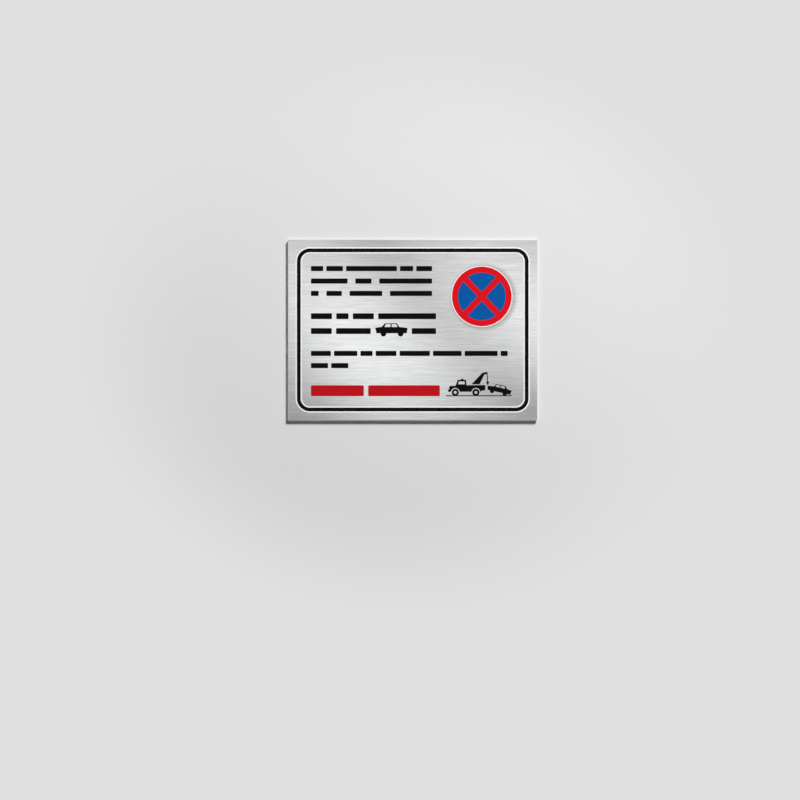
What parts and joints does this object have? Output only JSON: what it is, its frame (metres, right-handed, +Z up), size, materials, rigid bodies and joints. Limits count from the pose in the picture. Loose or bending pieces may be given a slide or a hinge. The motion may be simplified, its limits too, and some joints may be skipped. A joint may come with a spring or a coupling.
{
  "type": "parking sign",
  "caption": "Flat rectangular brushed metal parking sign with a printed border, a round no-stopping symbol, word bars and a tow-away pictogram, taped to a wall.",
  "frame": {"origin": "middle of the adhesive's wall face, behind the middle of the plate", "axes": "+X to the reader's right along the sign's length, +Y from the reader into the wall, +Z up"},
  "size_m": [0.29, 0.0041, 0.21],
  "materials": {
    "brushed_aluminium": "brushed lengthways",
    "foam_tape": "closed-cell foam, matt",
    "white_film": "satin",
    "black_film": "satin",
    "red_film": "satin",
    "headline_film": "satin",
    "blue_film": "satin",
    "grey_film": "satin"
  },
  "bodies": {
    "root": {"sign_panel": "brushed_aluminium", "adhesive_strip_top": "foam_tape", "adhesive_strip_middle": "foam_tape", "adhesive_strip_bottom": "foam_tape", "border_outer_keyline": "white_film", "border_line": "black_film", "border_inner_keyline": "white_film", "symbol_rim": "white_film", "symbol_ring_and_cross": "red_film", "symbol_field_top": "blue_film", "symbol_field_right": "blue_film", "symbol_field_bottom": "blue_film", "symbol_field_left": "blue_film", "notice_line_1": "black_film", "notice_line_2": "black_film", "notice_line_3": "black_film", "notice_line_4": "black_film", "notice_line_5": "black_film", "car_pictogram": "black_film", "notice_line_6": "black_film", "notice_line_7": "black_film", "headline": "headline_film", "tow_truck_pictogram": "black_film", "towed_car_pictogram": "black_film", "road_line": "grey_film"}
  },
  "joints": []
}
